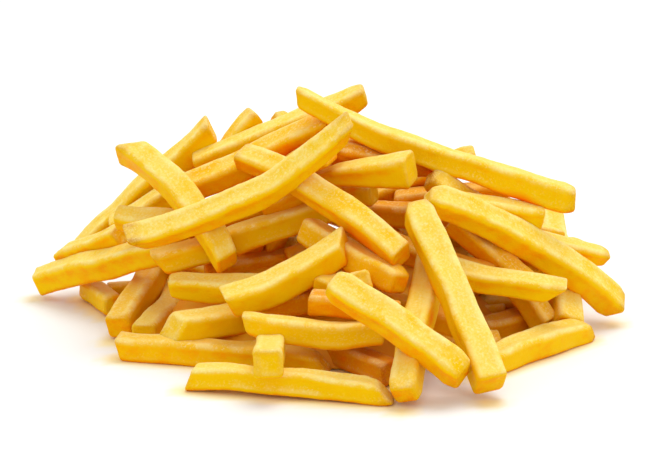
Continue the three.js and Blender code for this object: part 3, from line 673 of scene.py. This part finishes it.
def wave(draws, s, length):
    """A slow random curve along a fry, between about -1 and 1."""
    total = np.zeros_like(s)
    for k, size in ((1, 0.6), (2, 0.35), (3.3, 0.2)):
        total += size * np.sin(2 * math.pi * (s * k / length + draws.random()))
    return total


def near_axes(points, fries, own):
    """For each point, whether it lies inside a fry other than its own."""
    up = ups(fries)
    path = axis_points(fries, up, np.tile([0, 0.5, 1], (len(up), 1)))
    inside = np.zeros(len(points), bool)
    for n in range(len(up)):
        for p, q in zip(path[n, :-1], path[n, 1:]):
            way = q - p
            share = np.clip((points - p) @ way / (way @ way), 0, 1)
            step = points - p - way * share[:, None]
            inside |= (dots(step, step) < (fries["thick"][n] / 2) ** 2) & (own != n)
    return inside


def enclosures(fries, draws):
    """How shut in each fry is by the others, on a coarse grid along it and around it, between 0 and 1."""
    up, front, top = section_ways(fries)
    shares = np.tile(np.linspace(SHUT_END, 1 - SHUT_END, SHUT_ALONG), (len(up), 1))
    middle = axis_points(fries, up, shares)
    angle = 2 * math.pi * np.arange(SHUT_AROUND) / SHUT_AROUND
    out = front[:, None] * np.cos(angle)[:, None] + top[:, None] * np.sin(angle)[:, None]
    start = middle[:, :, None] + out[:, None] * (fries["thick"][:, None, None, None] / 2)
    total = np.zeros(start.shape[:3])
    own = np.repeat(np.arange(len(up)), SHUT_ALONG * SHUT_AROUND)
    for k in range(SHUT_PROBES):
        aside = draws.normal(size=start.shape)
        way = units(out[:, None] + SHUT_SPREAD * units(aside))
        probe = start + way * (SHUT_NEAR + SHUT_DEPTH * k / SHUT_PROBES)
        total += near_axes(probe.reshape(-1, 3), fries, own).reshape(total.shape)
    return total / SHUT_PROBES


def shut_at(table, t, x, y):
    """The enclosure of points at shares along one fry and places in its section."""
    along = np.clip(t, 0, 1) * (SHUT_ALONG - 1)
    around = np.arctan2(y, x) / (2 * math.pi) * SHUT_AROUND
    k = np.minimum(along.astype(int), SHUT_ALONG - 2)
    j = np.floor(around).astype(int)
    u, v = along - k, around - j
    one = table[k, j % SHUT_AROUND] * (1 - v) + table[k, (j + 1) % SHUT_AROUND] * v
    two = table[k + 1, j % SHUT_AROUND] * (1 - v) + table[k + 1, (j + 1) % SHUT_AROUND] * v
    return one * (1 - u) + two * u


def section_template(flat_steps):
    """Round a square section: multipliers of the half sizes less the corner's radius, and of that radius."""
    rows = []
    for quarter in range(4):
        turn = quarter * math.pi / 2
        c, s = round(math.cos(turn)), round(math.sin(turn))
        for k in range(flat_steps):
            u = -1 + 2 * k / flat_steps
            # a flat face looks along (c, s); its points run across it
            rows.append((c - s * u, s + c * u, c, s, u))
        for k in range(ARC_STEPS):
            turned_by = turn + (k / ARC_STEPS) * math.pi / 2
            rows.append((c - s, s + c, math.cos(turned_by), math.sin(turned_by), 1.0))
    return np.array(rows)


def fry_surface(f, ways, draws, step, flat_steps):
    """One fry as a grid of rings: points, the local coordinates, and what its colours need."""
    a, b, thick = f["a"], f["b"], f["thick"]
    up, front, top = ways
    length = lengths(b - a)
    d = (b - a) / length
    half = thick / 2
    one, two = f["ends"]

    # Stations along the fry: the end's face and its rim, the body, the other rim and face.
    def rim_of(end):
        return RIM + RIM_GROWTH * (1 - end[2]) if end[2] >= THIN_TIP else RIM

    rims = (rim_of(one), rim_of(two))
    # theta runs from the face's side to the fry's side at the first end
    theta = (np.arange(RIM_STEPS + 1) / RIM_STEPS)[::-1] * math.pi / 2
    cap = np.arange(1, CAP_STEPS + 1) / (CAP_STEPS + 1)
    body = max(6, int(round((length - sum(rims)) / step)))
    inner = np.linspace(rims[0], length - rims[1], body + 1)
    place = [np.zeros(CAP_STEPS), rims[0] * (1 - np.sin(theta)), inner[1:-1]]
    place += [length - rims[1] * (1 - np.sin(theta[::-1])), np.full(CAP_STEPS, length)]
    inset = [np.full(CAP_STEPS, rims[0]), rims[0] * (1 - np.cos(theta)), np.zeros(body - 1)]
    inset += [rims[1] * (1 - np.cos(theta[::-1])), np.full(CAP_STEPS, rims[1])]
    shrink = [cap, np.ones(RIM_STEPS + 1 + body - 1 + RIM_STEPS + 1), cap[::-1]]
    s, inset, shrink = (np.concatenate(v) for v in (place, inset, shrink))
    t = s / length

    # The half sizes along the fry.
    size = np.ones_like(s)
    for end, way in ((one, s), (two, length - s)):
        reach = TAPER_LENGTH if end[2] < THIN_TIP else TIP_REACH
        tip = end[2] * TIP_SHARE
        size *= tip + (1 - tip) * smooth(way / reach) if end[2] < 1 else 1
    size *= 1 + f["growth"] * (t - 0.5)
    hx = half * size * (1 + UNEVEN * wave(draws, s, SIZE_WAVE))
    hy = half * size * (1 + UNEVEN * wave(draws, s, SIZE_WAVE))
    corner = np.maximum(np.minimum(CORNER * size, hx * 0.8), 0.3)

    template = section_template(flat_steps)
    ux, uy, ax, ay, u = template.T
    hx, hy, corner = hx - inset, hy - inset, np.maximum(corner - inset, 0.12)
    hx, hy = np.maximum(hx, 0.3), np.maximum(hy, 0.3)
    corner = np.minimum(corner, np.minimum(hx, hy) * 0.9)
    x = ux * (hx - corner)[:, None] + ax * corner[:, None]
    y = uy * (hy - corner)[:, None] + ay * corner[:, None]

    # Faces sink between their edges, each in its own measure.
    flat = 1 - u * u
    face = np.arange(len(u)) // (len(u) // 4)
    depth = SUNK * (0.25 + 0.75 * draws.random(4))
    along = np.stack([1 + 0.5 * wave(draws, s, SINK_WAVE) for _ in range(4)], 1)
    near_end = smooth(np.minimum(s, length - s) / 4)
    sink = flat * depth[face] * along[:, face] * near_end[:, None]
    x = (x - sink * ax) * shrink[:, None]
    y = (y - sink * ay) * shrink[:, None]

    # Slanted ends, as in the CAD solid.
    slide_a = -(one[0] / 2 * y - one[1] / 2 * x) / half
    slide_b = (two[0] / 2 * y - two[1] / 2 * x) / half
    slide = (1 - t)[:, None] * slide_a + t[:, None] * slide_b
    is_cap = shrink < 1
    bend = np.where(is_cap, DISH * (1 - shrink**2), 0)
    slide += np.where(t < 0.5, bend, -bend)[:, None]

    # A little twist, and an axis that isn't quite straight.
    twist = TWIST * wave(draws, s, TWIST_WAVE)[:, None]
    x, y = x * np.cos(twist) - y * np.sin(twist), x * np.sin(twist) + y * np.cos(twist)
    stray_x, stray_y = WOBBLE * wave(draws, s, STRAY_WAVE), WOBBLE * wave(draws, s, STRAY_WAVE)
    line = a + (b - a) * t[:, None] + up * (f["bow"] * 4 * t * (1 - t))[:, None]
    line = line + front * stray_x[:, None] + top * stray_y[:, None]
    points = line[:, None] + front * x[..., None] + top * y[..., None] + d * slide[..., None]

    # Dents and pits, square to the surface.
    offset = draws.random(3) * 900
    local = np.stack([s[:, None] + slide, x, y], -1) + offset
    round_way = np.roll(points, -1, 1) - np.roll(points, 1, 1)
    long_way = np.gradient(points, axis=0)
    normal = np.cross(round_way, long_way)
    normal /= np.maximum(lengths(normal), 1e-9)[..., None]
    outward = points - line[:, None]
    outward[0], outward[-1] = -d, d
    sign = np.where(dots(normal, outward).mean() < 0, -1.0, 1.0)
    normal *= sign
    dents = DENTS[1] * layered(local, DENTS[0], 3, 2)
    pits = PITS[1] * layered(local, PITS[0], 9, 2)
    points = points + normal * (dents + pits)[..., None]

    edge = np.where(flat < 1e-6, 1.0, smooth((np.abs(u) - 0.55) / 0.45))
    rim = smooth((shrink - 0.55) / 0.45)[:, None]
    near_face = smooth(1 - np.minimum(s, length - s) / EDGE_WIDTH)[:, None]
    edge = np.where(is_cap[:, None], rim, np.maximum(edge, near_face))
    edge = np.broadcast_to(edge, x.shape)
    from_a = np.where(is_cap & (t < 0.5), 0, 1)[:, None] * np.maximum(s[:, None] + slide, 0)
    from_b = np.where(is_cap & (t > 0.5), 0, 1)[:, None] * np.maximum(length - s[:, None] - slide, 0)
    shut = shut_at(f["shut"], np.broadcast_to(t[:, None], x.shape), x, y)
    return points, local, {"edge": edge, "shut": shut, "from_a": from_a, "from_b": from_b, "flip": sign}


def grid_faces(rings, around, first):
    """Quads over a grid of rings and a fan over each end, whose middle points follow the grid's points."""
    k, j = np.meshgrid(np.arange(rings - 1), np.arange(around), indexing="ij")
    p = first + k * around + j
    q = first + k * around + (j + 1) % around
    quads = np.stack([p, q, q + around, p + around], -1).reshape(-1, 4)
    j = np.arange(around)
    low, high = first + rings * around, first + rings * around + 1
    one = np.stack([np.full(around, low), first + (j + 1) % around, first + j], 1)
    last = first + (rings - 1) * around
    two = np.stack([np.full(around, high), last + j, last + (j + 1) % around], 1)
    return quads, np.concatenate([one, two])


def in_scene(points):
    """Points of the layout, in the scene's metres."""
    return (points - np.array([*MIDDLE, 0])) * MM


def shown(name, data):
    """A mesh, light or camera as an object of the scene."""
    made = bpy.data.objects.new(name, data)
    bpy.context.scene.collection.objects.link(made)
    return made


def fry_piece(name, fries, looks, step, flat_steps, draws):
    """Joins a set of fries into one mesh object."""
    points, quads, tris, local, edge, shut, brown, tone = [], [], [], [], [], [], [], []
    ways = np.stack(section_ways(fries), 1)
    count = 0
    for n in range(len(fries["a"])):
        p, q, more = fry_surface(some(fries, n), ways[n], draws, step, flat_steps)
        rings, around = p.shape[:2]
        four, three = grid_faces(rings, around, count)
        if more["flip"] < 0:
            four, three = four[:, ::-1], three[:, ::-1]
        quads.append(four)
        tris.append(three)

        def whole(v):
            ends = [v[k].mean(0).reshape(1, -1) for k in (0, -1)]
            return np.concatenate([v.reshape(rings * around, -1), *ends])

        points.append(whole(p))
        local.append(whole(q))
        edge.append(whole(more["edge"]))
        shut.append(whole(more["shut"]))
        browned = np.zeros_like(more["edge"])
        for key, (amount, reach) in zip(("from_a", "from_b"), looks[n]["brown"]):
            near = 1 - smooth(more[key] / reach)
            browned = np.maximum(browned, amount * near * (0.4 + 0.6 * more["edge"]))
        brown.append(whole(browned))
        tone.append(np.full((rings * around + 2, 1), looks[n]["tone"]))
        count += rings * around + 2
    points = np.clip(in_scene(np.concatenate(points)), cad_low, cad_high)
    quads, tris = np.concatenate(quads), np.concatenate(tris)
    mesh = bpy.data.meshes.new(name)
    mesh.vertices.add(len(points))
    mesh.vertices.foreach_set("co", points.ravel())
    mesh.loops.add(quads.size + tris.size)
    mesh.loops.foreach_set("vertex_index", np.concatenate([quads.ravel(), tris.ravel()]).astype(np.int32))
    starts = np.concatenate([np.arange(len(quads)) * 4, quads.size + np.arange(len(tris)) * 3])
    mesh.polygons.add(len(starts))
    mesh.polygons.foreach_set("loop_start", starts.astype(np.int32))
    mesh.update(calc_edges=True)
    mesh.shade_smooth()
    for key, value in (("edge", edge), ("shut", shut), ("brown", brown), ("tone", tone)):
        layer = mesh.attributes.new(key, "FLOAT", "POINT")
        layer.data.foreach_set("value", np.concatenate(value).ravel().astype(np.float32))
    layer = mesh.attributes.new("local", "FLOAT_VECTOR", "POINT")
    layer.data.foreach_set("vector", np.concatenate(local).ravel().astype(np.float32))
    return shown(name, mesh)


def core_piece():
    """A low dome that shuts the gaps between the inner fries."""
    rings, sides, inset = 16, 64, 2
    share = np.arange(rings + 1) / rings
    angle = 2 * math.pi * np.arange(sides) / sides
    radius = np.sqrt(1 - share * 0.99)[:, None]
    x = np.cos(angle) * radius * (CORE_HALF_WIDTH - inset)
    y = np.sin(angle) * radius * (CORE_HALF_DEPTH - inset) + CORE_SETBACK
    z = np.broadcast_to((share * (CORE_HEIGHT - 1))[:, None], x.shape) + 0.5
    points = np.stack([x, y, z], -1)
    points[1:, :, 2] += 1.2 * layered(points, 9.0, 5)[1:]
    flat = points.reshape(-1, 3)
    ends = np.stack([points[0].mean(0), points[-1].mean(0)])
    quads, tris = grid_faces(rings + 1, sides, 0)
    mesh = bpy.data.meshes.new("core")
    cast = in_scene(np.concatenate([flat, ends]))
    mesh.from_pydata(cast.tolist(), [], quads.tolist() + tris.tolist())
    mesh.shade_smooth()
    return shown("core", mesh)


# ---- materials ----
class Graph:
    """Adds nodes to a material and links them: an input is a socket to link or a value to set."""

    def __init__(self, name):
        self.material = bpy.data.materials.new(name)
        self.material.use_nodes = True
        self.tree = self.material.node_tree
        self.shader = self.tree.nodes["Principled BSDF"]

    def node(self, kind, inputs=(), **settings):
        made = self.tree.nodes.new(kind)
        for key, value in settings.items():
            setattr(made, key, value)
        self.fill(made, dict(inputs))
        return made

    def fill(self, node, inputs):
        for key, value in inputs.items():
            if isinstance(value, bpy.types.NodeSocket):
                self.tree.links.new(value, node.inputs[key])
            else:
                node.inputs[key].default_value = value

    def attribute(self, name):
        return self.node("ShaderNodeAttribute", attribute_name=name)

    def maths(self, operation, a, b, clamp=False):
        return self.node("ShaderNodeMath", {0: a, 1: b}, operation=operation, use_clamp=clamp).outputs[0]

    def ranged(self, value, low, high, to_low=0.0, to_high=1.0):
        inputs = {"Value": value, "From Min": low, "From Max": high, "To Min": to_low, "To Max": to_high}
        return self.node("ShaderNodeMapRange", inputs, interpolation_type="SMOOTHSTEP").outputs[0]

    def mixed(self, share, a, b, blend="MIX"):
        inputs = {"Factor": share, 6: a, 7: b}
        return self.node("ShaderNodeMix", inputs, data_type="RGBA", blend_type=blend).outputs[2]

    def cloud(self, place, length, detail, rough=0.5, stretch=None):
        """Noise whose largest forms have this length in millimetres."""
        if stretch:
            place = self.node("ShaderNodeMapping", {"Vector": place, "Scale": stretch}).outputs[0]
        inputs = {"Vector": place, "Scale": 1 / length, "Detail": detail, "Roughness": rough}
        return self.node("ShaderNodeTexNoise", inputs).outputs["Fac"]


def colour(red, green, blue):
    return (red, green, blue, 1.0)


PAINTED_TOP_LIGHT = colour(0.94, 0.68, 0.13)  # painted light: faces that look up are made paler, as if lit from above
GOLD = colour(0.92, 0.56, 0.002)  # their sides
DEEP_BROWN_AND_SHADE = colour(0.95, 0.32, 0.001)  # the more browned fries, and painted shade on the undersides of all of them
SHADED = colour(0.95, 0.15, 0.001)  # where the heap shuts them in
CREAM_AND_HIGHLIGHT = colour(0.975, 0.83, 0.38)  # dried edges and specks, and a painted highlight: they show only on faces that look up and lie open
BROWN = colour(0.62, 0.33, 0.15)  # what crisp ends keep of their colour


def potato_material():
    g = Graph("fried_potato")
    local = g.attribute("local").outputs["Vector"]
    edge, brown, tone, shut = (g.attribute(key).outputs["Fac"] for key in ("edge", "brown", "tone", "shut"))
    normal = g.node("ShaderNodeNewGeometry").outputs["Normal"]
    up = g.node("ShaderNodeSeparateXYZ", {0: normal}).outputs[2]

    patches = g.cloud(local, 6.0, 3.0, 0.55)
    grain = g.cloud(local, 0.9, 3.0, 0.65)
    specks = g.cloud(local, 0.6, 2.0, 0.6)
    streaks = g.cloud(local, 2.2, 2.0, 0.5, stretch=(0.25, 1.0, 1.0))

    # painted highlight: the cream specks and edges are kept to faces that look up and that the heap leaves
    # open
    lit_and_open = g.maths("MULTIPLY", g.ranged(up, -0.2, 0.7), g.ranged(shut, 0.05, 0.4, 1.0, 0.05))
    # painted light and shade: faces that look up are mixed towards the pale colour, faces that look down
    # towards the deep one
    facing_light = g.maths("ADD", up, g.ranged(patches, 0.3, 0.7, -0.22, 0.22))
    facing_light = g.maths("SUBTRACT", facing_light, g.ranged(tone, -1.0, 1.0, -0.25, 0.25))
    base = g.mixed(g.ranged(facing_light, 0.3, 1.0), GOLD, PAINTED_TOP_LIGHT)
    base = g.mixed(g.ranged(facing_light, 0.0, -0.9), base, DEEP_BROWN_AND_SHADE)
    # the tone: the fries' own colour, and for some placed ones painted shade
    base = g.mixed(g.ranged(tone, 0.0, 1.0, 0.0, 0.75), base, DEEP_BROWN_AND_SHADE)
    base = g.mixed(g.ranged(tone, 0.3, 1.0, 0.0, 0.35), base, BROWN, "MULTIPLY")
    base = g.mixed(g.maths("MULTIPLY", lit_and_open, g.ranged(grain, 0.5, 0.68, 0.0, 0.55)), base, CREAM_AND_HIGHLIGHT)
    base = g.mixed(g.ranged(grain, 0.5, 0.3, 0.0, 0.45), base, GOLD)
    base = g.mixed(g.ranged(streaks, 0.5, 0.3, 0.0, 0.25), base, GOLD)
    # painted highlight along the edges, partly the dried rims' own colour
    rim = g.maths("MULTIPLY", edge, g.ranged(patches, 0.35, 0.65, 0.05, 0.45))
    base = g.mixed(g.maths("MULTIPLY", lit_and_open, rim), base, CREAM_AND_HIGHLIGHT)
    shade = g.maths("MULTIPLY", g.ranged(shut, 0.2, 0.8, 0.0, 0.95), g.ranged(up, 0.3, 0.9, 1.0, 0.4))
    base = g.mixed(shade, base, SHADED)
    crisp = g.maths("MULTIPLY", brown, g.ranged(specks, 0.3, 0.65, 0.35, 0.9), clamp=True)
    base = g.mixed(crisp, base, BROWN, "MULTIPLY")

    bumps = g.maths("ADD", g.cloud(local, 0.9, 3.0, 0.6), g.maths("MULTIPLY", patches, 0.6))
    bump = g.node("ShaderNodeBump", {"Height": bumps, "Strength": 0.35, "Distance": 0.0004})

    g.fill(g.shader, {
        "Base Color": base,
        "Normal": bump.outputs[0],
        "Roughness": g.ranged(grain, 0.3, 0.7, 0.38, 0.55),
        "IOR": 1.35,
        "Specular IOR Level": 0.1,
        "Specular Tint": colour(1.0, 0.8, 0.2),
        "Subsurface Weight": 0.2,
        "Subsurface Radius": (1.0, 0.55, 0.15),
        "Subsurface Scale": 0.002,
    })
    return g.material


def core_material():
    g = Graph("inner_potato")
    place = g.node("ShaderNodeTexCoord").outputs["Object"]
    patches = g.cloud(place, 0.008, 3.0)
    base = g.mixed(patches, DEEP_BROWN_AND_SHADE, GOLD)
    bump = g.node("ShaderNodeBump", {"Height": patches, "Strength": 0.5, "Distance": 0.001})
    g.fill(g.shader, {"Base Color": base, "Normal": bump.outputs[0], "Roughness": 0.6})
    return g.material


# ---- the heap ----
fries = lay_out()
draws = np.random.default_rng(SHAPES_SEED)
fries["shut"] = enclosures(fries, np.random.default_rng(SHUT_SEED))
looks = []
for n in range(len(fries["a"])):
    tone = DARKER_TONE_AND_SHADE.get(n, TONE_FROM + TONE_SPREAD * draws.random())
    brown = [(END_BROWN, BROWN_FROM + BROWN_SPREAD * draws.random()) for _ in range(2)]
    for end, amount, reach in CRISP_ENDS.get(n, ()):
        brown[end] = (amount, reach)
    looks.append({"tone": tone, "brown": brown})

order = np.arange(len(fries["a"]))
placed = ~fries["loose"]
potato = potato_material()
pieces = []
for name, which, grid in (
    ("fries_front", placed & (order < 14), FINE),
    ("fries_middle", placed & (order >= 14) & (order < 29), FINE),
    ("fries_top", placed & (order >= 29) & (order < 43), FINE),
    ("fries_left", placed & (order >= 43), FINE),
    ("fries_behind", fries["loose"], COARSE),
):
    chosen = [looks[n] for n in order[which]]
    piece = fry_piece(name, some(fries, which), chosen, *grid, draws)
    piece.data.materials.append(potato)
    pieces.append(piece)

core = core_piece()
core.data.materials.append(core_material())
pieces.append(core)
for piece in pieces:
    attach(piece, "root")
    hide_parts("fries")


# ---- floor, light and camera ----
FLOOR_WHITE = colour(0.92, 0.94, 0.93)
FLOOR_PAINTED_SHADOW = colour(0.97, 0.84, 0.42)
FLOOR_REACH = 6000  # millimetres
FLOOR_NEAR = 160  # finely divided up to here
FLOOR_STEP = 4
PAINTED_SHADOW_REACH = 5
PAINTED_SHADOW_SHIFT = (-1, -2, 0)  # the painted shadow lies as if the light came from behind on the right
STUDIO_LIGHT = 0.9  # the same from all sides
SOFTBOX_PLACE = (0.3, 0.3, 1.3)  # metres
SOFTBOX_SIZE = 1.0
SOFTBOX_POWER = 8


def stage_floor(fries):
    """The surface, with a painted warm shadow close by the fries that stands in for the shade and warm light
    they throw on it.
    """
    near = np.arange(-FLOOR_NEAR, FLOOR_NEAR + 1, FLOOR_STEP)
    line = np.concatenate([[-FLOOR_REACH], near, [FLOOR_REACH]])
    x, y = np.meshgrid(line, line, indexing="ij")
    place = np.stack([x, y, np.zeros_like(x)], -1).reshape(-1, 3)
    apart = np.full(len(place), FLOOR_REACH)
    for a, b, thick in zip(fries["a"], fries["b"], fries["thick"]):
        way = b - a
        reach = place - a - PAINTED_SHADOW_SHIFT
        share = np.clip(reach @ way / (way @ way), 0, 1)
        apart = np.minimum(apart, lengths(reach - way * share[:, None]) - thick / 2)
    # painted shadow: the floor is tinted warm and darker close by the fries
    painted_shadow = 1 - smooth(apart / PAINTED_SHADOW_REACH)
    count = len(line)
    k, j = (v.ravel() for v in np.meshgrid(np.arange(count - 1), np.arange(count - 1), indexing="ij"))
    first = k * count + j
    quads = np.stack([first, first + count, first + count + 1, first + 1], 1)
    mesh = bpy.data.meshes.new("floor")
    mesh.from_pydata(in_scene(place).tolist(), [], quads.tolist())
    layer = mesh.attributes.new("painted_shadow", "FLOAT", "POINT")
    layer.data.foreach_set("value", painted_shadow.astype(np.float32))
    floor = shown("floor", mesh)
    g = Graph("white_floor")
    base = g.mixed(g.attribute("painted_shadow").outputs["Fac"], FLOOR_WHITE, FLOOR_PAINTED_SHADOW)
    g.fill(g.shader, {"Base Color": base, "Roughness": 0.9, "Specular IOR Level": 0.1})
    mesh.materials.append(g.material)


stage_floor(fries)

softbox_data = bpy.data.lights.new("softbox", "AREA")
softbox_data.shape = "DISK"
softbox_data.size = SOFTBOX_SIZE
softbox_data.energy = SOFTBOX_POWER
softbox = shown("softbox", softbox_data)
softbox.location = SOFTBOX_PLACE
softbox.rotation_euler = (-Vector(SOFTBOX_PLACE)).to_track_quat("-Z", "Y").to_euler()

world = bpy.data.worlds.new("studio")
bpy.context.scene.world = world
world.use_nodes = True
background = world.node_tree.nodes["Background"]
background.inputs["Color"].default_value = (1, 1, 1, 1)
background.inputs["Strength"].default_value = STUDIO_LIGHT

PHOTO_WIDTH = 658  # pixels
FOCAL_PIXELS = 2518.5
SENSOR = 36.0  # millimetres, as the distances below
CAMERA_DISTANCE = 900
AIM_HEIGHT = 38
camera_data = bpy.data.cameras.new("camera")
camera_data.sensor_width = SENSOR
camera_data.lens = FOCAL_PIXELS * SENSOR / PHOTO_WIDTH
camera_data.clip_start = 0.05
camera_data.clip_end = 30
camera = shown("camera", camera_data)
bpy.context.scene.camera = camera
aim = Vector((0, 0, AIM_HEIGHT))
away = Vector((0, -math.cos(VIEW_TILT), math.sin(VIEW_TILT))) * CAMERA_DISTANCE
camera.location = in_scene(np.array(aim + away))
camera.rotation_euler = (-away).to_track_quat("-Z", "Y").to_euler()

view = bpy.context.scene.view_settings
view.view_transform = "Standard"
view.look = "None"
view.exposure = 0.0
